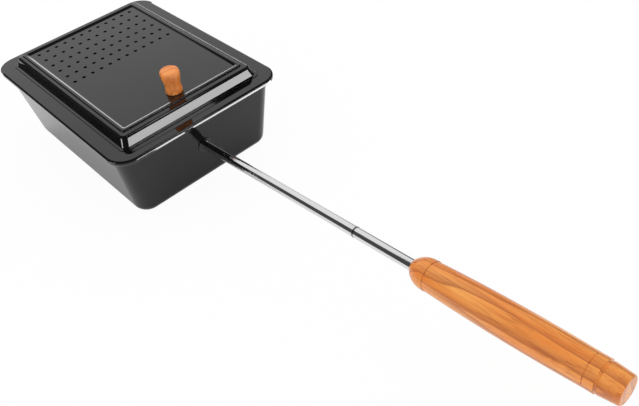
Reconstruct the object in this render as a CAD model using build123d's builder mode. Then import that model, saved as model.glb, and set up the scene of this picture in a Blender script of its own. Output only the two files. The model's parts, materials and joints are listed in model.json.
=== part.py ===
# Campfire popcorn popper: a deep steel pan with a sliding vented lid and a long screw-together handle.
# The origin is the centre of the pan's underside, +Z is up and the handle points along -Y.
from build123d import *
import math
import os

os.makedirs("parts", exist_ok=True)

# Driving dimensions, in millimetres and degrees
# Sheet metal and clearances
sheet = 0.9
slide_gap = 0.3
close_fit = 0.02
thread_fit = 0.03
running_fit = 0.06
hole_clearance = 0.3

# Pan
floor_width = 192.0
floor_length = 261.2
mouth_width = 218.6
mouth_length = 287.6
pan_height = 99.7
wall_corner_radius = 19.0
floor_radius = 11.5
mouth_radius = 2.4
flange_side = 4.5
flange_end = 7.8
rim_corner_radius = 23.5
bead_radius = 2.0

# Lid
edge_bend = 2.4
edge_tuck = 4.4
lip_inset = 18.0
lip_width = 3.4
lip_height = 0.8
wall_run = 3.9
ridge_height = 12.5
lip_corner_radius = 8.0
ridge_edge_radius = 3.4
ridge_foot_radius = 0.8
lip_edge_radius = 0.35

# Raised bead that frames the lid's panel
front_shoulder = 8.8
side_shoulder = 5.5
back_shoulder = 2.8
bead_height = 1.5
bead_outer_run = 0.4
bead_top_width = 3.2
bead_inner_run = 2.8
bead_back_run = 5.2
bead_corner_radius = 3.5
panel_corner_radius = 1.5
bead_edge_radius = 0.8
bead_foot_radius = 0.4
bead_inner_radius = 3.0

# Vents in the lid
vent_diameter = 4.6
vent_columns = 12
vent_rows = 6
vent_column_pitch = 12.4
vent_row_pitch = 18.6
vent_from_back = 44.9

# Knob
knob_from_front = 55.0
knob_height = 30.0
knob_foot_radius = 10.1
knob_foot_round = 0.8
knob_waist_radius = 9.5
knob_waist_height = 9.0
knob_head_radius = 11.4
knob_head_height = 24.5
knob_edge_radius = 3.2
knob_crown = 0.8
knob_insert_radius = 4.0
knob_insert_length = 14.0
knob_screw_radius = 2.0
knob_screw_grip = 11.0
knob_screw_head_radius = 4.0
knob_screw_head_height = 2.6
knob_washer_radius = 6.0
knob_washer_thickness = 1.0
knob_lock_radius = 3.7
knob_lock_thickness = 0.9

# Handle, measured along its axis from the pan's front wall
handle_height = 54.8
handle_rise = 5.9
tube_radius = 5.7
tube_wall = 1.0
front_tube_end = 253.9
joint_gap = 0.15
joint_ring_length = 1.6
joint_ring_step = 0.15
grip_start = 328.4
tube_in_grip = 70.0
bore_end_gap = 2.0
wall_washer_radius = 9.4
wall_washer_thickness = 1.2
handle_screw_radius = 3.0
handle_screw_head_radius = 5.6
handle_screw_head_height = 3.6
handle_screw_reach = 15.0
handle_lock_radius = 5.4
handle_lock_thickness = 1.4
bevel_washer_radius = 7.0
bevel_washer_edge = 0.6
front_plug_length = 19.0
joint_insert_length = 18.0
stud_radius = 3.0
stud_engagement = 10.0
stud_seat_length = 14.0
tube_end_chamfer = 0.3

# Grip, measured along the grip from its nose
grip_length = 205.0
nose_length = 18.0
nose_radius = 15.0
nose_mouth_radius = 6.6
nose_land_end = 21.2
body_front_radius = 14.6
swell_position = 99.0
swell_radius = 16.4
body_back_radius = 15.1
back_line_position = 176.0
tail_start = 186.6
tail_front_radius = 14.5
tail_back_radius = 12.9
tail_edge_radius = 1.6
line_groove_depth = 0.5
line_groove_width = 0.8
tail_groove_depth = 1.5
tail_groove_width = 1.8
pin_position = 40.0
pin_radius = 1.25
pin_above_axis = 9.0
pin_recess = 0.6

# Small details of the fastenings
drive_slot_width = 1.0
drive_slot_share = 1.1
drive_slot_depth = 1.4
lock_split_width = 0.8
head_round = 0.9

# Values that follow from the driving dimensions
floor_half_x = floor_width / 2
floor_half_y = floor_length / 2
mouth_half_x = mouth_width / 2
mouth_half_y = mouth_length / 2
rim_half_x = mouth_half_x + flange_side
rim_half_y = mouth_half_y + flange_end
lid_half_x = rim_half_x + slide_gap + sheet
lid_half_y = rim_half_y + slide_gap + sheet
lid_corner_radius = rim_corner_radius + slide_gap + sheet
border_bottom = pan_height + slide_gap
border_top = border_bottom + sheet
edge_height = 2 * sheet + 2 * slide_gap + 2 * bead_radius
edge_end_y = lid_half_y - lid_corner_radius
lip_top = border_top + lip_height
ridge_top = border_top + ridge_height
bead_top = ridge_top + bead_height
panel_bottom = ridge_top - sheet
cut_reach = 3 * sheet
knob_y = knob_from_front - lid_half_y
vent_middle_y = lid_half_y - vent_from_back - vent_row_pitch * (vent_rows - 1) / 2

# The front wall leans outwards, and the handle leaves it at its own rise
wall_lean = math.degrees(math.atan2(mouth_half_y - floor_half_y, pan_height))
wall_thickness_across = sheet / math.cos(math.radians(wall_lean))
handle_wall_y = -(floor_half_y + (mouth_half_y - floor_half_y) * handle_height / pan_height)
handle_to_wall = handle_rise + wall_lean
handle_plane = Plane(
    origin=(0, handle_wall_y, handle_height),
    x_dir=(1, 0, 0),
    z_dir=(0, -math.cos(math.radians(handle_rise)), math.sin(math.radians(handle_rise))),
)
wall_plane = Plane(
    origin=(0, handle_wall_y, handle_height),
    x_dir=(1, 0, 0),
    z_dir=(0, -math.cos(math.radians(wall_lean)), -math.sin(math.radians(wall_lean))),
)
tube_bore = tube_radius - tube_wall
rear_tube_start = front_tube_end + joint_ring_length + 2 * joint_gap
rear_tube_end = grip_start + tube_in_grip
bevel_washer_seat = -(
    sheet / math.cos(math.radians(handle_to_wall))
    + bevel_washer_radius * math.tan(math.radians(handle_to_wall))
    + bevel_washer_edge
)


def finish(builder, name):
    """Label a finished piece and write its file."""
    builder.part.label = name
    export_step(builder.part, f"parts/{name}.step")


def rounded(height, half_x, half_y, radius, middle_y=0):
    """A rounded rectangle at a height, centred on the pan unless its middle is moved along Y."""
    with BuildSketch(Plane.XY.offset(height)) as shape:
        with Locations((0, middle_y)):
            RectangleRounded(2 * half_x, 2 * half_y, radius)
    return shape.sketch


def ring(plane, outer_radius, inner_radius, length):
    """A plain ring or washer that stands on a plane."""
    with BuildPart() as piece:
        with BuildSketch(plane):
            Circle(outer_radius)
            Circle(inner_radius, mode=Mode.SUBTRACT)
        extrude(amount=length)
    return piece


def lock_washer(plane, outer_radius, inner_radius, length):
    """A spring washer: a ring that is split on one side."""
    with BuildPart() as piece:
        with BuildSketch(plane):
            Circle(outer_radius)
            Circle(inner_radius, mode=Mode.SUBTRACT)
            with Locations(((outer_radius + inner_radius) / 2, 0)):
                Rectangle(outer_radius, lock_split_width, mode=Mode.SUBTRACT)
        extrude(amount=length)
    return piece


def machine_screw(plane, shank_radius, shank_length, head_radius, head_height):
    """A pan-head screw: the head is below the plane and the shank stands on it."""
    with BuildPart() as piece:
        with BuildSketch(plane):
            Circle(shank_radius)
        extrude(amount=shank_length)
        with BuildSketch(plane):
            Circle(head_radius)
        extrude(amount=-head_height)
        head_plane = plane.offset(-head_height)
        outer_edge = piece.edges().filter_by(GeomType.CIRCLE).sort_by(
            lambda edge: (edge.arc_center - head_plane.origin).length
        )[0]
        fillet(outer_edge, radius=head_round)
        with BuildSketch(head_plane):
            for turn in (0, 90):
                Rectangle(drive_slot_share * head_radius, drive_slot_width, rotation=turn)
        extrude(amount=drive_slot_depth, mode=Mode.SUBTRACT)
    return piece


# Pan: walls that lean outwards, a wide radius round the floor and a flange with a curled bead
with BuildPart() as pan_inside:
    inside_floor = rounded(
        sheet,
        floor_half_x + (mouth_half_x - floor_half_x) * sheet / pan_height - wall_thickness_across,
        floor_half_y + (mouth_half_y - floor_half_y) * sheet / pan_height - wall_thickness_across,
        wall_corner_radius - sheet,
    )
    inside_mouth = rounded(
        pan_height,
        mouth_half_x - wall_thickness_across,
        mouth_half_y - wall_thickness_across,
        wall_corner_radius - sheet,
    )
    loft([inside_floor, inside_mouth], ruled=True)
    fillet(pan_inside.faces().sort_by(Axis.Z)[0].edges(), radius=floor_radius - sheet)

with BuildLine(Plane.XY.offset(pan_height - bead_radius)) as rim_path:
    FilletPolyline(
        (rim_half_x - bead_radius, rim_half_y - bead_radius),
        (bead_radius - rim_half_x, rim_half_y - bead_radius),
        (bead_radius - rim_half_x, bead_radius - rim_half_y),
        (rim_half_x - bead_radius, bead_radius - rim_half_y),
        radius=rim_corner_radius - bead_radius,
        close=True,
    )
rim_start = rim_path.line @ 0
rim_heading = rim_path.line % 0

with BuildPart() as pan:
    outside_floor = rounded(0, floor_half_x, floor_half_y, wall_corner_radius)
    outside_mouth = rounded(pan_height, mouth_half_x, mouth_half_y, wall_corner_radius)
    loft([outside_floor, outside_mouth], ruled=True)
    fillet(pan.faces().sort_by(Axis.Z)[0].edges(), radius=floor_radius)
    with BuildSketch(Plane.XY.offset(pan_height - sheet)):
        RectangleRounded(
            2 * (rim_half_x - bead_radius), 2 * (rim_half_y - bead_radius), rim_corner_radius - bead_radius
        )
    extrude(amount=sheet)
    with BuildSketch(Plane(origin=rim_start, x_dir=rim_heading.cross(Vector(0, 0, 1)), z_dir=rim_heading)):
        Circle(bead_radius)
        Circle(bead_radius - sheet, mode=Mode.SUBTRACT)
        with Locations((-bead_radius / 2, -bead_radius / 2)):
            Rectangle(bead_radius, bead_radius, mode=Mode.SUBTRACT)
    sweep(path=rim_path.line)
    add(pan_inside.part, mode=Mode.SUBTRACT)
    mouth_edges = pan.edges().filter_by(
        lambda edge: abs(edge.center().Z - pan_height) < 0.01
        and abs(edge.center().X) < mouth_half_x
        and abs(edge.center().Y) < mouth_half_y
    )
    fillet(mouth_edges, radius=mouth_radius)
    under_edges = pan.edges().filter_by(
        lambda edge: abs(edge.center().Z - (pan_height - sheet)) < 0.01
        and abs(edge.center().X) < mouth_half_x + bead_radius / 2
        and abs(edge.center().Y) < mouth_half_y + bead_radius / 2
    )
    fillet(under_edges, radius=mouth_radius - sheet)
    with BuildSketch(handle_plane.offset(-cut_reach)):
        Circle(handle_screw_radius + hole_clearance)
    extrude(amount=2 * cut_reach, mode=Mode.SUBTRACT)

finish(pan, "pan")

# Lid: a flat border with a rolled edge, a raised ridge, a beaded frame round its panel, and vents
lip_half_x = lid_half_x - lip_inset
lip_half_y = lid_half_y - lip_inset
wall_half_x = lip_half_x - lip_width
wall_half_y = lip_half_y - lip_width
ridge_half_x = wall_half_x - wall_run
ridge_half_y = wall_half_y - wall_run
bead_half_x = ridge_half_x - side_shoulder
bead_half_y = ridge_half_y - (front_shoulder + back_shoulder) / 2
bead_middle_y = (front_shoulder - back_shoulder) / 2
brim_half_x = bead_half_x - bead_outer_run - bead_top_width
brim_half_y = bead_half_y - bead_outer_run - bead_top_width
panel_half_x = brim_half_x - bead_inner_run
panel_half_y = brim_half_y - (bead_inner_run + bead_back_run) / 2
panel_middle_y = bead_middle_y + (bead_inner_run - bead_back_run) / 2
wall_corner = lip_corner_radius - lip_width / 2


def raised_bead(drop, inset):
    """The bead round the panel, lowered by a drop and drawn in at its outer side by an inset."""
    with BuildPart() as bead:
        foot = rounded(
            ridge_top - drop,
            bead_half_x - inset,
            bead_half_y - inset,
            bead_corner_radius - inset,
            bead_middle_y,
        )
        head = rounded(
            bead_top - drop,
            bead_half_x - bead_outer_run - inset,
            bead_half_y - bead_outer_run - inset,
            bead_corner_radius - inset,
            bead_middle_y,
        )
        loft([foot, head], ruled=True)
        panel_edge = rounded(
            ridge_top - drop, panel_half_x, panel_half_y, panel_corner_radius, panel_middle_y
        )
        brim = rounded(bead_top - drop, brim_half_x, brim_half_y, bead_corner_radius, bead_middle_y)
        loft([panel_edge, brim], ruled=True, mode=Mode.SUBTRACT)
    return bead.part


with BuildPart() as lid_hollow:
    with BuildSketch(Plane.XY.offset(border_bottom)):
        RectangleRounded(2 * (lip_half_x - sheet), 2 * (lip_half_y - sheet), lip_corner_radius - sheet)
    extrude(amount=lip_height)
    hollow_foot = rounded(lip_top - sheet, wall_half_x - sheet, wall_half_y - sheet, wall_corner - sheet)
    hollow_head = rounded(ridge_top - sheet, ridge_half_x - sheet, ridge_half_y - sheet, wall_corner - sheet)
    loft([hollow_foot, hollow_head], ruled=True)
    fillet(lid_hollow.faces().sort_by(Axis.Z)[-1].edges(), radius=ridge_edge_radius - sheet)
    add(raised_bead(sheet, sheet))

with BuildLine(Plane.XY.offset(border_top)) as edge_path:
    FilletPolyline(
        (lid_half_x, edge_end_y),
        (lid_half_x, -lid_half_y),
        (-lid_half_x, -lid_half_y),
        (-lid_half_x, edge_end_y),
        radius=lid_corner_radius,
    )

with BuildPart() as lid:
    with BuildSketch(Plane.XY.offset(border_bottom)):
        RectangleRounded(2 * lid_half_x, 2 * lid_half_y, lid_corner_radius)
        with Locations((0, lid_half_y)):
            Rectangle(2 * lid_half_x, 2 * (lid_half_y - edge_end_y), mode=Mode.INTERSECT)
        RectangleRounded(
            2 * (lid_half_x - edge_bend), 2 * (lid_half_y - edge_bend), lid_corner_radius - edge_bend
        )
    extrude(amount=sheet)
    with BuildSketch(Plane(origin=edge_path.line @ 0, x_dir=(1, 0, 0), z_dir=edge_path.line % 0)):
        with Locations((-edge_tuck, -edge_height / 2)):
            RectangleRounded(2 * edge_tuck, edge_height, edge_bend)
            RectangleRounded(
                2 * (edge_tuck - sheet), edge_height - 2 * sheet, edge_bend - sheet, mode=Mode.SUBTRACT
            )
        with Locations((-3 * edge_tuck / 2, -edge_height / 2)):
            Rectangle(edge_tuck, edge_height, mode=Mode.SUBTRACT)
    sweep(path=edge_path.line)
    with BuildSketch(Plane.XY.offset(border_bottom)):
        RectangleRounded(2 * lip_half_x, 2 * lip_half_y, lip_corner_radius)
    extrude(amount=sheet + lip_height)
    lip_edges = lid.edges().filter_by(lambda edge: abs(edge.center().Z - lip_top) < 0.01)
    fillet(lip_edges, radius=lip_edge_radius)
    raised_foot = rounded(lip_top, wall_half_x, wall_half_y, wall_corner)
    raised_head = rounded(ridge_top, ridge_half_x, ridge_half_y, wall_corner)
    loft([raised_foot, raised_head], ruled=True)
    top_edges = lid.faces().sort_by(Axis.Z)[-1].edges()
    fillet(top_edges, radius=ridge_edge_radius)
    add(raised_bead(0, 0))
    fillet(lid.faces().sort_by(Axis.Z)[-1].outer_wire().edges(), radius=bead_edge_radius)
    fillet(lid.faces().sort_by(Axis.Z)[-1].inner_wires()[0].edges(), radius=bead_inner_radius)
    level_faces = lid.faces().filter_by(lambda face: abs(face.center().Z - ridge_top) < 0.01)
    fillet(level_faces.sort_by(SortBy.AREA)[0].inner_wires()[0].edges(), radius=bead_foot_radius)
    level_faces = lid.faces().filter_by(lambda face: abs(face.center().Z - ridge_top) < 0.01)
    fillet(level_faces.sort_by(SortBy.AREA)[-1].edges(), radius=bead_inner_radius)
    foot_edges = lid.edges().filter_by(
        lambda edge: abs(edge.center().Z - lip_top) < 0.01
        and abs(edge.center().X) < wall_half_x + lip_edge_radius
        and abs(edge.center().Y) < wall_half_y + lip_edge_radius
    )
    fillet(foot_edges, radius=ridge_foot_radius)
    add(lid_hollow.part, mode=Mode.SUBTRACT)
    with BuildSketch(Plane.XY.offset(panel_bottom - sheet)):
        with Locations((0, vent_middle_y)):
            with GridLocations(vent_column_pitch, vent_row_pitch, vent_columns, vent_rows):
                Circle(vent_diameter / 2)
        with Locations((0, knob_y)):
            Circle(knob_screw_radius + hole_clearance)
    extrude(amount=cut_reach, mode=Mode.SUBTRACT)

finish(lid, "lid")

# Knob: a turned wooden knob on a threaded insert, held by a screw from under the lid
knob_plane = Plane(origin=(0, knob_y, ridge_top), x_dir=(1, 0, 0), z_dir=(0, 0, 1))
knob_profile_plane = Plane(origin=(0, knob_y, ridge_top), x_dir=(1, 0, 0), z_dir=(0, -1, 0))
with BuildPart() as knob:
    with BuildSketch(knob_profile_plane):
        with BuildLine():
            foot_line = Line((0, 0), (knob_foot_radius - knob_foot_round, 0))
            foot_edge = TangentArc(foot_line @ 1, (knob_foot_radius, knob_foot_round), tangent=(1, 0))
            waist = Spline(
                foot_edge @ 1,
                (knob_waist_radius, knob_waist_height),
                (knob_head_radius, knob_head_height),
                tangents=[(0, 1), (0, 1)],
            )
            head_edge = Spline(
                waist @ 1,
                (knob_head_radius - knob_edge_radius, knob_height - knob_crown),
                tangents=[(0, 1), (-1, 0.1)],
            )
            crown = TangentArc((0, knob_height), head_edge @ 1, tangent=(1, 0))
            Line(crown @ 0, (0, 0))
        make_face()
    revolve(axis=Axis((0, knob_y, 0), (0, 0, 1)))
    with BuildSketch(knob_plane):
        Circle(knob_insert_radius + close_fit)
    extrude(amount=knob_insert_length + bore_end_gap, mode=Mode.SUBTRACT)

finish(knob, "knob")

knob_insert = ring(knob_plane, knob_insert_radius, knob_screw_radius + thread_fit, knob_insert_length)
finish(knob_insert, "knob_insert")

knob_washer_plane = knob_plane.offset(-sheet - knob_washer_thickness)
knob_washer = ring(
    knob_washer_plane, knob_washer_radius, knob_screw_radius + hole_clearance, knob_washer_thickness
)
finish(knob_washer, "knob_washer")

knob_lock_plane = knob_washer_plane.offset(-knob_lock_thickness)
knob_lock_washer = lock_washer(
    knob_lock_plane, knob_lock_radius, knob_screw_radius + hole_clearance, knob_lock_thickness
)
finish(knob_lock_washer, "knob_lock_washer")

knob_screw_length = knob_lock_thickness + knob_washer_thickness + sheet + knob_screw_grip
knob_screw = machine_screw(
    knob_lock_plane, knob_screw_radius, knob_screw_length, knob_screw_head_radius, knob_screw_head_height
)
finish(knob_screw, "knob_screw")

# Handle root: washers on both sides of the front wall and the screw that holds the tube
with BuildPart() as wall_washer:
    with BuildSketch(wall_plane):
        Circle(wall_washer_radius)
    extrude(amount=wall_washer_thickness)
    fillet(wall_washer.faces().sort_by(Axis.Y)[0].edges(), radius=wall_washer_thickness / 2)
    with BuildSketch(handle_plane.offset(-wall_washer_radius)):
        Circle(handle_screw_radius + hole_clearance)
    extrude(amount=2 * wall_washer_radius, mode=Mode.SUBTRACT)

finish(wall_washer, "wall_washer")

with BuildPart() as bevel_washer:
    with BuildSketch(handle_plane.offset(bevel_washer_seat)):
        Circle(bevel_washer_radius)
        Circle(handle_screw_radius + hole_clearance, mode=Mode.SUBTRACT)
    extrude(amount=-2 * bevel_washer_seat)
    split(bisect_by=wall_plane.offset(-sheet), keep=Keep.BOTTOM)

finish(bevel_washer, "bevel_washer")

handle_lock_plane = handle_plane.offset(bevel_washer_seat - handle_lock_thickness)
handle_lock_washer = lock_washer(
    handle_lock_plane, handle_lock_radius, handle_screw_radius + hole_clearance, handle_lock_thickness
)
finish(handle_lock_washer, "handle_lock_washer")

handle_screw = machine_screw(
    handle_lock_plane,
    handle_screw_radius,
    handle_lock_thickness - bevel_washer_seat + handle_screw_reach,
    handle_screw_head_radius,
    handle_screw_head_height,
)
finish(handle_screw, "handle_screw")

# Front tube: cut to the wall's lean, with a threaded plug at the pan and an insert at the joint
tube_seat = wall_plane.offset(wall_washer_thickness)
with BuildPart() as front_tube:
    with BuildSketch(handle_plane):
        Circle(tube_radius)
        Circle(tube_bore, mode=Mode.SUBTRACT)
    extrude(amount=front_tube_end)
    chamfer(front_tube.edges().sort_by(Axis.Y)[0:1], length=tube_end_chamfer)
    split(bisect_by=tube_seat, keep=Keep.TOP)

finish(front_tube, "front_tube")

with BuildPart() as front_tube_plug:
    with BuildSketch(handle_plane):
        Circle(tube_bore - close_fit)
        Circle(handle_screw_radius + thread_fit, mode=Mode.SUBTRACT)
    extrude(amount=front_plug_length)
    split(bisect_by=tube_seat, keep=Keep.TOP)

finish(front_tube_plug, "front_tube_plug")

front_tube_insert = ring(
    handle_plane.offset(front_tube_end - joint_insert_length),
    tube_bore - close_fit,
    stud_radius + thread_fit,
    joint_insert_length,
)
finish(front_tube_insert, "front_tube_insert")

with BuildPart() as joint_stud:
    with BuildSketch(handle_plane.offset(front_tube_end - stud_seat_length)):
        Circle(stud_radius)
    extrude(amount=stud_seat_length + rear_tube_start - front_tube_end + stud_engagement)
    chamfer(joint_stud.edges().filter_by(GeomType.CIRCLE), length=tube_end_chamfer)

finish(joint_stud, "joint_stud")

# Joint ring: a thin collar that fills the joint between the two tubes
joint_ring = ring(
    handle_plane.offset(front_tube_end + joint_gap),
    tube_radius + joint_ring_step,
    stud_radius + hole_clearance,
    joint_ring_length,
)
finish(joint_ring, "joint_ring")

# Rear tube, which screws onto the stud and carries the grip
with BuildPart() as rear_tube:
    with BuildSketch(handle_plane.offset(rear_tube_start)):
        Circle(tube_radius)
        Circle(tube_bore, mode=Mode.SUBTRACT)
    extrude(amount=rear_tube_end - rear_tube_start)
    chamfer(rear_tube.edges().filter_by(GeomType.CIRCLE).sort_by(Axis.Y)[-1:], length=tube_end_chamfer)
    pin_plane = Plane(
        origin=handle_plane.offset(grip_start + pin_position).origin,
        x_dir=(1, 0, 0),
        z_dir=handle_plane.y_dir,
    )
    with BuildSketch(pin_plane.offset(-2 * tube_radius)):
        Circle(pin_radius + close_fit)
    extrude(amount=4 * tube_radius, mode=Mode.SUBTRACT)

finish(rear_tube, "rear_tube")

rear_tube_insert = ring(
    handle_plane.offset(rear_tube_start),
    tube_bore - close_fit,
    stud_radius + running_fit,
    joint_insert_length,
)
finish(rear_tube_insert, "rear_tube_insert")

# Grip: turned wood with a domed nose, a swelling body and a tapered tail behind a groove
grip_axis = Axis(handle_plane.origin, handle_plane.z_dir)
grip_profile_plane = Plane(
    origin=handle_plane.offset(grip_start).origin,
    x_dir=(1, 0, 0),
    z_dir=-handle_plane.y_dir,
)
with BuildPart() as grip:
    with BuildSketch(grip_profile_plane):
        with BuildLine():
            Line((0, 0), (nose_mouth_radius, 0))
            nose = TangentArc((nose_radius, nose_length), (nose_mouth_radius, 0), tangent=(0, -1))
            land = Line(nose @ 0, (nose_radius, nose_land_end))
            step = Line(land @ 1, (body_front_radius, nose_land_end + line_groove_width / 2))
            body = ThreePointArc(
                step @ 1,
                (swell_radius, swell_position),
                (body_back_radius, back_line_position),
            )
            back_land = Line(body @ 1, (body_back_radius, tail_start))
            tail_step = Line(back_land @ 1, (tail_front_radius, tail_start + tail_groove_width / 2))
            tail = Line(tail_step @ 1, (tail_back_radius, grip_length))
            end_face = Line(tail @ 1, (0, grip_length))
            Line(end_face @ 1, (0, 0))
        make_face()
        with Locations((body_front_radius, nose_land_end)):
            Circle(line_groove_width / 2, mode=Mode.SUBTRACT)
        with Locations((body_back_radius, back_line_position)):
            Circle(line_groove_depth, mode=Mode.SUBTRACT)
        with Locations((body_back_radius, tail_start)):
            Circle(tail_groove_depth, mode=Mode.SUBTRACT)
    revolve(axis=grip_axis)
    fillet(grip.edges().filter_by(GeomType.CIRCLE).sort_by(Axis.Y)[0], radius=tail_edge_radius)
    with BuildSketch(handle_plane.offset(grip_start)):
        Circle(tube_radius + close_fit)
    extrude(amount=tube_in_grip + bore_end_gap, mode=Mode.SUBTRACT)
    with BuildSketch(pin_plane.offset(pin_above_axis)):
        Circle(pin_radius + close_fit)
    extrude(amount=-pin_above_axis - 2 * swell_radius, mode=Mode.SUBTRACT)

finish(grip, "grip")

with BuildPart() as grip_pin:
    with BuildSketch(pin_plane.offset(pin_above_axis)):
        Circle(pin_radius)
    extrude(amount=-pin_above_axis - body_front_radius + pin_recess)

finish(grip_pin, "grip_pin")
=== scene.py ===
# %% [markdown]
# This lesson dresses a campfire popcorn popper. Its parts come ready made as a fixed frame, in metres, with
# the pan's underside on the floor and the handle pointing along -Y. What is left for Blender is the look of
# the thing: glossy black enamel, bright plated tube and lacquered wood, lit as in a small studio.

import json
import math

import bpy
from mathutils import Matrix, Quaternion, Vector

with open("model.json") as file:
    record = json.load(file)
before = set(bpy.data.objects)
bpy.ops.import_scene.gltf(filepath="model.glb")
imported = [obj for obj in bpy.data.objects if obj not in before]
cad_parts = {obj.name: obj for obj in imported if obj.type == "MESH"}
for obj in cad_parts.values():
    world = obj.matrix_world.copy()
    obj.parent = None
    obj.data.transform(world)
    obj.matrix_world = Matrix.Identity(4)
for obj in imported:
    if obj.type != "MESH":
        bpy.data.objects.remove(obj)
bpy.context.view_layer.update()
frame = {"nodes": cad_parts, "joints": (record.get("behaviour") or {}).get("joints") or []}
nodes = frame["nodes"]
print("pieces:", len(nodes))

# %% [markdown]
# The popper is seen from above, from the left of its grip. A camera needs four things to match that view:
# where it stands, what it looks at, how far it leans to one side, and its lens, here a little wider than the
# 50 mm of a new camera. It could be turned by three angles, but a quaternion that points it straight
# at its aim, and then one that leans it, are easier to check.

# %% Place the camera
camera_place = Vector((-0.3239, -0.7513, 0.5863))
camera_aim = Vector((0.0181, -0.3178, 0.0600))
camera_lean = math.radians(-7.22)
camera_data = bpy.data.cameras.new("camera")
camera_data.lens = 40.97
camera_data.sensor_width = 36.0
camera = bpy.data.objects.new("camera", camera_data)
bpy.context.scene.collection.objects.link(camera)
camera.rotation_mode = "QUATERNION"
look = (camera_aim - camera_place).to_track_quat("-Z", "Y")
camera.rotation_quaternion = look @ Quaternion((0, 0, 1), camera_lean)
camera.location = camera_place
bpy.context.scene.camera = camera
bpy.context.scene.view_settings.view_transform = "Standard"
print("camera to aim:", round((camera_aim - camera_place).length, 3), "m")


# %% [markdown]
# A material in Blender is a small network of nodes. Wiring it by hand hides the sums that it does, so a tiny
# class wraps each output. Adding, multiplying or dividing wrapped outputs adds the Math node that does it.

# %% Let the outputs of nodes take part in sums
class Wire:
    """One output of a node, which can be used in sums."""

    def __init__(self, recipe, socket):
        self.recipe = recipe
        self.socket = socket

    def result(self, operation, first, second):
        """The output of a new Math node."""
        return self.recipe.add("ShaderNodeMath", {"operation": operation}, {0: first, 1: second})

    def __add__(self, other):
        return self.result("ADD", self, other)

    def __radd__(self, other):
        return self.result("ADD", other, self)

    def __mul__(self, other):
        return self.result("MULTIPLY", self, other)

    def __rmul__(self, other):
        return self.result("MULTIPLY", other, self)

    def __truediv__(self, other):
        return self.result("DIVIDE", self, other)

    def __rtruediv__(self, other):
        return self.result("DIVIDE", other, self)


print("sums on outputs: +, * and /, from either side")


# %% [markdown]
# Every other node comes from one method, which takes the node's type, its settings and what its sockets get:
# a number, a colour or another node's output. The short methods below it are the steps that the finishes
# share, so that each finish reads like a recipe.

# %% Let one method add any node
class Recipe:
    """A material, or the world, and the nodes that make it."""

    def __init__(self, owner):
        owner.use_nodes = True
        self.owner = owner
        self.tree = owner.node_tree
        self.tree.nodes.clear()

    def add(self, kind, settings=None, inputs=None, output=0):
        """A new node, its settings first and then its inputs. One of its outputs comes back as a wire."""
        node = self.tree.nodes.new(kind)
        for name, value in (settings or {}).items():
            if name == "stops":
                self.set_stops(node.color_ramp, value)
            else:
                setattr(node, name, value)
        for name, value in (inputs or {}).items():
            socket = node.inputs[name]
            if isinstance(value, Wire):
                self.tree.links.new(value.socket, socket)
            elif isinstance(value, tuple) and len(value) == 3 and socket.type == "RGBA":
                socket.default_value = (*value, 1.0)
            else:
                socket.default_value = value
        if node.outputs:
            return Wire(self, node.outputs[output])
        return None

    def set_stops(self, ramp, stops):
        """A ramp's stops: where each one is, and its colour or its grey."""
        while len(ramp.elements) < len(stops):
            ramp.elements.new(1.0)
        for element, (place, colour) in zip(ramp.elements, stops):
            if isinstance(colour, float):
                colour = (colour, colour, colour)
            element.position = place
            element.color = (*colour, 1.0)

    def place(self):
        """Where a point is, in the popper's own frame, in metres."""
        return self.add("ShaderNodeTexCoord", output="Object")

    def vector(self, operation, first, second):
        """A sum on two vectors."""
        return self.add("ShaderNodeVectorMath", {"operation": operation}, {0: first, 1: second})

    def noise(self, vector, scale, detail, roughness=0.5):
        """Soft random clouds from 0 to 1, about as many to the metre as the scale says."""
        values = {"Vector": vector, "Scale": scale, "Detail": detail, "Roughness": roughness}
        return self.add("ShaderNodeTexNoise", inputs=values)

    def ramp(self, value, *stops):
        """A colour, or a grey, for each value from 0 to 1."""
        return self.add("ShaderNodeValToRGB", {"stops": stops}, {"Fac": value})

    def blend(self, share, first, second):
        """Two colours mixed, by the second one's share."""
        return self.add("ShaderNodeMix", {"data_type": "RGBA"}, {0: share, 6: first, 7: second}, output=2)

    def bump(self, height, depth, strength):
        """A surface that seems to rise by a depth in metres where the height is 1."""
        values = {"Height": height, "Distance": depth, "Strength": strength}
        return self.add("ShaderNodeBump", inputs=values)

    def surface(self, inputs):
        """The shader at the end of a material."""
        shader = self.add("ShaderNodeBsdfPrincipled", inputs=inputs)
        self.add("ShaderNodeOutputMaterial", inputs={"Surface": shader})
        return self.owner


steps = [name for name in vars(Recipe) if not name.startswith("_")]
print("steps of a recipe:", ", ".join(steps))

# %% [markdown]
# The popper stands on a white sheet. Plain paper comes out grey and uneven in this light, and more light
# would bleach the popper too. So to the camera the sheet is nearly all plain white light, and a twentieth
# of paper keeps the popper's shadow. What the enamel and the tube mirror is the paper.

# %% Lay the table
table_low = Vector((-0.34, -1.00, 0.0))
table_high = Vector((0.75, 0.55, 0.0))
table_corners = [
    (table_low.x, table_low.y, 0.0),
    (table_high.x, table_low.y, 0.0),
    (table_high.x, table_high.y, 0.0),
    (table_low.x, table_high.y, 0.0),
]
table_mesh = bpy.data.meshes.new("table_sheet")
table_mesh.from_pydata(table_corners, [], [(0, 1, 2, 3)])
table = bpy.data.objects.new("table_sheet", table_mesh)
bpy.context.scene.collection.objects.link(table)


def new_recipe(name):
    """An empty recipe for a new material."""
    return Recipe(bpy.data.materials.new(name))


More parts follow.
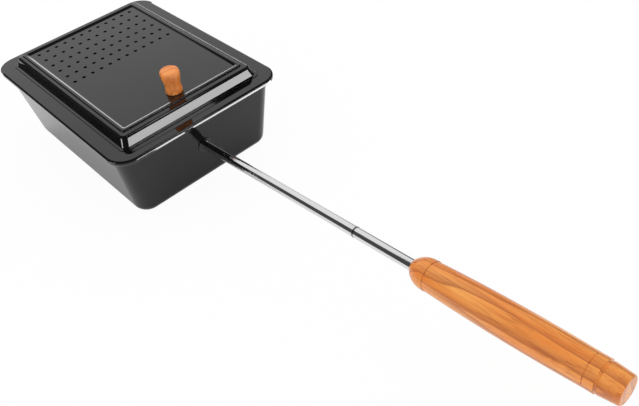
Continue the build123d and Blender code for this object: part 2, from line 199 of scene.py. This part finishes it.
white = (1.0, 1.0, 1.0)
paper_white = (0.86, 0.86, 0.86)
plain_share = 0.95
sheet = new_recipe("white table sheet")
seen = sheet.add("ShaderNodeLightPath", output="Is Camera Ray")
paper = sheet.add("ShaderNodeBsdfDiffuse", inputs={"Color": paper_white})
glow = sheet.add("ShaderNodeEmission", inputs={"Color": white, "Strength": 1.0})
mixed = sheet.add("ShaderNodeMixShader", inputs={0: seen * plain_share, 1: paper, 2: glow})
sheet.add("ShaderNodeOutputMaterial", inputs={"Surface": mixed})
table_mesh.materials.append(sheet.owner)
table_size = table_high - table_low
print("table:", round(table_size.x, 2), "by", round(table_size.y, 2), "m")

# %% [markdown]
# A black thing with a mirror gloss has almost no colour of its own: what it shows is the room. One plain
# background would be too bright for the enamel or too dark for the wood, so the world sorts the rays. The
# camera sees white behind the popper, mirrors see a dark room, and dull things get the room's even light.

# %% Close the room
even_light = 1.12
mirrored_light = 0.07
world = bpy.data.worlds.new("studio")
bpy.context.scene.world = world
room = Recipe(world)
camera_ray = room.add("ShaderNodeLightPath", output="Is Camera Ray")
glossy_ray = room.add("ShaderNodeLightPath", output="Is Glossy Ray")
room_light = room.add("ShaderNodeBackground", inputs={"Color": white, "Strength": even_light})
dark_wall = room.add("ShaderNodeBackground", inputs={"Color": white, "Strength": mirrored_light})
white_wall = room.add("ShaderNodeBackground", inputs={"Color": white, "Strength": 1.0})
in_room = room.add("ShaderNodeMixShader", inputs={0: glossy_ray, 1: room_light, 2: dark_wall})
backdrop = room.add("ShaderNodeMixShader", inputs={0: camera_ray, 1: in_room, 2: white_wall})
room.add("ShaderNodeOutputWorld", inputs={"Surface": backdrop})
print("room:", even_light, "to dull things and", mirrored_light, "to mirrors")


# %% [markdown]
# The lamps are softboxes, and each one is there for a reflection. A lamp for the whole popper would spoil
# one reflection to make another, so each lights its own pieces alone, as black cards would arrange
# it in a real studio. Its place is given from what it lights: how far round, how high and how far away.
# A brightness of 1 is plain white. The first two stand behind the popper. The high one fills the lid's flat
# top, and the low one its far edges.

# %% Hang two softboxes behind the lid
def softbox(name, pieces, target, heading, height_angle, distance, width, height, brightness):
    """An area lamp that faces a target and lights these pieces alone. Angles are in degrees."""
    heading = math.radians(heading)
    height_angle = math.radians(height_angle)
    flat = math.cos(height_angle)
    away = Vector((flat * math.cos(heading), flat * math.sin(heading), math.sin(height_angle)))
    data = bpy.data.lights.new(name, "AREA")
    data.shape = "RECTANGLE"
    data.size = width
    data.size_y = height
    data.energy = brightness * math.pi * width * height
    lamp = bpy.data.objects.new(name, data)
    bpy.context.scene.collection.objects.link(lamp)
    lamp.location = Vector(target) + distance * away
    lamp.rotation_mode = "QUATERNION"
    lamp.rotation_quaternion = (-away).to_track_quat("-Z", "Y")
    lamp.visible_camera = False
    lit = bpy.data.collections.new(name + "_lights")
    for piece in pieces:
        lit.objects.link(nodes[piece])
    lamp.light_linking.receiver_collection = lit
    print(name + ":", width, "by", height, "m, on", ", ".join(pieces))


enamelled = ["lid", "pan", "wall_washer"]
lid_middle = (0.0, 0.0, 0.10)
softbox(
    "back_softbox", enamelled, lid_middle,
    heading=64, height_angle=32, distance=1.6, width=1.4, height=0.75, brightness=0.72,
)
softbox(
    "low_back_softbox", enamelled, lid_middle,
    heading=64, height_angle=8, distance=1.7, width=1.9, height=0.45, brightness=2.0,
)

# %% [markdown]
# A tube is a mirror that curves one way, so it draws a lamp out into a bright line along its length. A lamp
# that is bright enough for this bleaches the wood, so the wood has a weaker one in the same place.

# %% Hang a softbox for the tube and one for the wood
plated = ["front_tube", "rear_tube", "joint_ring"]
wooden = ["grip", "knob"]
tube_middle = (0.0, -0.30, 0.08)
for name, pieces, brightness in (("tube_softbox", plated, 0.85), ("wood_softbox", wooden, 0.3)):
    softbox(
        name, pieces, tube_middle,
        heading=70, height_angle=32, distance=1.4, width=2.0, height=1.6, brightness=brightness,
    )

# %% [markdown]
# The lid's ridge has four walls, and each mirrors another part of the room. A long low lamp in front draws
# the bright strip on its front wall, and smaller ones put glints on its other edges and corners. A narrow
# lamp just under the lid's front draws the line on its rolled edge.

# %% Hang the softboxes for the ridge and the rolled edge
ridge_front = (0.0, -0.13, 0.107)
ridge_corner = (-0.09, -0.13, 0.107)
rolled_edge = (0.02, -0.155, 0.10)
softbox(
    "front_softbox", enamelled, ridge_front,
    heading=-67, height_angle=-1, distance=1.3, width=0.75, height=0.16, brightness=9.0,
)
softbox(
    "high_softbox", enamelled, ridge_front,
    heading=-36, height_angle=66, distance=1.2, width=0.2, height=0.2, brightness=7.0,
)
softbox(
    "left_softbox", enamelled, ridge_corner,
    heading=163, height_angle=1, distance=1.0, width=0.5, height=0.16, brightness=7.5,
)
softbox(
    "corner_softbox", enamelled, ridge_corner,
    heading=171, height_angle=23, distance=1.0, width=0.08, height=0.08, brightness=12.0,
)
softbox(
    "edge_softbox", ["lid"], rolled_edge,
    heading=-63, height_angle=-38, distance=0.12, width=0.3, height=0.05, brightness=12.0,
)


# %% [markdown]
# Enamel is glass melted on steel. A plain glossy black could stand for it, but what enamel shows first is its
# clear top. So the shader is a black base that mirrors little, with a clear coat over it. A faint ripple
# keeps the reflections from looking too perfect, and clouds of noise make the gloss uneven. Painted
# stains would need an image and would show its seams at the pan's corners.

# %% Enamel for the pan and the lid
def dress(node_names, material):
    """Put one material on the pieces of these names."""
    for name in node_names:
        for slot in nodes[name].material_slots:
            slot.material = material
    print(material.name + ":", ", ".join(node_names))


deep_black = (0.002, 0.002, 0.0025)
worn_black = (0.004, 0.004, 0.0045)
cloud_dulling = 0.05
dust_dulling = 0.02


def enamel(name, roughness, ripple, shine):
    """Black enamel by its roughness, the depth of its ripple in metres and the weight of its clear top."""
    recipe = new_recipe(name)
    place = recipe.place()
    clouds = recipe.noise(place, scale=24.0, detail=4.0)
    dust = recipe.noise(place, scale=900.0, detail=2.0)
    tone = recipe.ramp(clouds, (0.3, deep_black), (0.7, worn_black))
    uneven = roughness + clouds * cloud_dulling + dust * dust_dulling
    peel = recipe.noise(place, scale=90.0, detail=1.0)
    return recipe.surface(
        {
            "Base Color": tone,
            "Roughness": uneven,
            "IOR": 1.2,
            "Coat Weight": shine,
            "Coat Roughness": 0.03,
            "Coat IOR": 1.5,
            "Normal": recipe.bump(peel, depth=ripple, strength=0.3),
        }
    )


lid_enamel = enamel("black enamel, lid", roughness=0.04, ripple=0.000012, shine=1.0)
pan_enamel = enamel("black enamel, pan", roughness=0.10, ripple=0.00002, shine=0.75)
dress(["lid", "wall_washer"], lid_enamel)
dress(["pan"], pan_enamel)

# %% [markdown]
# The tubes are drawn through a die and then plated. Drawing leaves very fine lines along the tube. Cut in the
# mesh they would take thousands of faces, so they are noise, stretched along the handle, in the roughness
# and in a shallow bump. The handle rises a little from the pan. Its sliding joint says by how much,
# and each point's place is turned by that before the noise is stretched.

# %% Bright plating for the tubes and the ring
along_x = (1.0, 0.0, 0.0)
handle_axis = next(joint["axis"] for joint in frame["joints"] if joint["name"] == "handle_advance")
handle_rise = math.atan2(handle_axis[2], -handle_axis[1])
drawn_stretch = (900.0, 12.0, 900.0)
line_dulling = 0.06
spot_tone = 0.9
print("handle rises", round(math.degrees(handle_rise), 1), "degrees")


def turned(recipe, vector, axis, angle):
    """A place turned round an axis through the frame's origin."""
    values = {"Vector": vector, "Axis": axis, "Angle": angle}
    return recipe.add("ShaderNodeVectorRotate", {"rotation_type": "AXIS_ANGLE"}, values)


def along_handle(recipe):
    """A point's place, turned so that y runs along the handle."""
    return turned(recipe, recipe.place(), along_x, handle_rise)


def plating(name, colour, roughness):
    """Plated steel with lines along the handle."""
    recipe = new_recipe(name)
    stretched = recipe.vector("MULTIPLY", along_handle(recipe), drawn_stretch)
    lines = recipe.noise(stretched, scale=1.0, detail=2.0)
    spots = recipe.noise(recipe.place(), scale=60.0, detail=4.0)
    dull = tuple(spot_tone * part for part in colour)
    return recipe.surface(
        {
            "Base Color": recipe.blend(spots, dull, colour),
            "Metallic": 1.0,
            "Roughness": roughness + lines * line_dulling,
            "Normal": recipe.bump(lines, depth=0.000004, strength=0.3),
        }
    )


dress(["front_tube", "rear_tube"], plating("bright plated tube", (0.80, 0.80, 0.81), roughness=0.08))
dress(["joint_ring"], plating("dull plated ring", (0.16, 0.16, 0.165), roughness=0.30))

# %% [markdown]
# The grip and the knob are turned from one kind of wood and lacquered. A photograph of planks could be laid
# round them, but its grain would run the wrong way over their ends. A tree adds a ring a year, pale in
# spring and dark in autumn, so the rings are sums on the distance from the tree's heart. Where the
# lathe cuts them at a slant they show as long wandering lines. Fine pores run along the fibres, and wide
# clouds make one side redder than the other.

# %% Lacquered wood
fibre_stretch = (9.0, 1.6, 9.0)
cloud_stretch = (1.0, 2.5, 1.0)
rings_astray = 2.2
spring_to_winter = ((0.0, 0.0), (0.5, 0.1), (0.82, 0.6), (0.92, 1.0), (1.0, 0.0))
ring_strength = 0.7
pore_strength = 0.5
lacquered_roughness = 0.34
fibre_dulling = 0.2


def wood(name, grain_place, heart, ring_width, pale, middle, dark):
    """Lacquered wood by the place of the tree's heart and the width of its rings, both in metres."""
    recipe = new_recipe(name)
    place = grain_place(recipe)
    wander = recipe.noise(place, scale=38.0, detail=3.0)
    off_heart = recipe.vector("SUBTRACT", place, heart)
    from_heart = recipe.add("ShaderNodeVectorMath", {"operation": "LENGTH"}, {0: off_heart}, output=1)
    rings = from_heart / ring_width + rings_astray * wander
    part_of_year = recipe.add("ShaderNodeMath", {"operation": "FRACT"}, {0: rings})
    season = recipe.ramp(part_of_year, *spring_to_winter)
    fibre_place = recipe.vector("MULTIPLY", place, fibre_stretch)
    fibres = recipe.noise(fibre_place, scale=110.0, detail=3.0, roughness=0.6)
    pores = recipe.ramp(fibres, (0.38, 1.0), (0.48, 0.0))
    cloud_place = recipe.vector("MULTIPLY", place, cloud_stretch)
    clouds = recipe.noise(cloud_place, scale=60.0, detail=3.0)
    ground = recipe.blend(recipe.ramp(clouds, (0.35, 0.0), (0.65, 1.0)), middle, pale)
    lined = recipe.blend(ring_strength * season, ground, dark)
    shade = recipe.blend(pore_strength * pores, lined, dark)
    return recipe.surface(
        {
            "Base Color": shade,
            "Roughness": lacquered_roughness + fibres * fibre_dulling,
            "Coat Weight": 0.6,
            "Coat Roughness": 0.14,
            "Normal": recipe.bump(fibres, depth=0.00005, strength=0.4),
        }
    )


print("rings wander by up to", rings_astray, "ring widths")

# %% [markdown]
# One recipe serves both pieces, and they differ in how they were cut from the tree. The grip lies along its
# fibres, and a small lean across them brings its rings out at a slant. The knob's fibres stand nearly
# upright. Its wood is a little redder and its rings are wider.

# %% Cut the grip and the knob from the tree
slanted_axis = (0.3, 0.0, 1.0)
grip_slant = math.radians(2.2)
grip_stretch = (1.0, 0.06, 1.0)
knob_stand = math.radians(82.0)
knob_stretch = (1.0, 0.15, 1.0)


def grip_grain(recipe):
    """A place in the grip's wood, with y along its fibres."""
    leaning = turned(recipe, along_handle(recipe), slanted_axis, grip_slant)
    return recipe.vector("MULTIPLY", leaning, grip_stretch)


def knob_grain(recipe):
    """A place in the knob's wood, with y along its fibres."""
    upright = turned(recipe, recipe.place(), along_x, knob_stand)
    return recipe.vector("MULTIPLY", upright, knob_stretch)


grip_tones = {"pale": (0.88, 0.36, 0.07), "middle": (0.78, 0.22, 0.018), "dark": (0.34, 0.065, 0.01)}
knob_tones = {"pale": (0.92, 0.34, 0.08), "middle": (0.84, 0.24, 0.035), "dark": (0.50, 0.11, 0.02)}
grip_wood = wood("grip wood", grip_grain, heart=(0.045, 0.0, 0.03), ring_width=0.005, **grip_tones)
knob_wood = wood("knob wood", knob_grain, heart=(0.03, 0.0, 0.05), ring_width=0.008, **knob_tones)
dress(["grip"], grip_wood)
dress(["knob"], knob_wood)

# %% [markdown]
# The fastenings are small and mostly hidden, but the screw under the lid shows from below. One flat grey
# would do at that size. Zinc has spangles like frost, though, so a fine noise changes its tone and its
# roughness, and a finer one stands for the lathe's lines. The knob's insert is brass.

# %% Zinc and brass for the fastenings
turning_stretch = (1.0, 1.0, 12.0)
spangle_dulling = 0.12
spangle_tone = 0.8


def turned_metal(name, colour, roughness):
    """Metal with spangles and the lathe's fine lines."""
    recipe = new_recipe(name)
    place = recipe.place()
    spangle = recipe.noise(place, scale=450.0, detail=3.0)
    lines = recipe.noise(recipe.vector("MULTIPLY", place, turning_stretch), scale=700.0, detail=2.0)
    dull = tuple(spangle_tone * part for part in colour)
    return recipe.surface(
        {
            "Base Color": recipe.blend(spangle, dull, colour),
            "Metallic": 1.0,
            "Roughness": roughness + spangle * spangle_dulling,
            "Normal": recipe.bump(lines, depth=0.00001, strength=0.4),
        }
    )


zinc_pieces = [
    "knob_washer",
    "knob_lock_washer",
    "knob_screw",
    "bevel_washer",
    "handle_lock_washer",
    "handle_screw",
    "front_tube_plug",
    "front_tube_insert",
    "joint_stud",
    "rear_tube_insert",
    "grip_pin",
]
dress(zinc_pieces, turned_metal("zinc plated steel", (0.60, 0.60, 0.62), roughness=0.28))
dress(["knob_insert"], turned_metal("turned brass", (0.76, 0.56, 0.26), roughness=0.24))

# %% [markdown] Dressing the popper changes only its look, not its size.
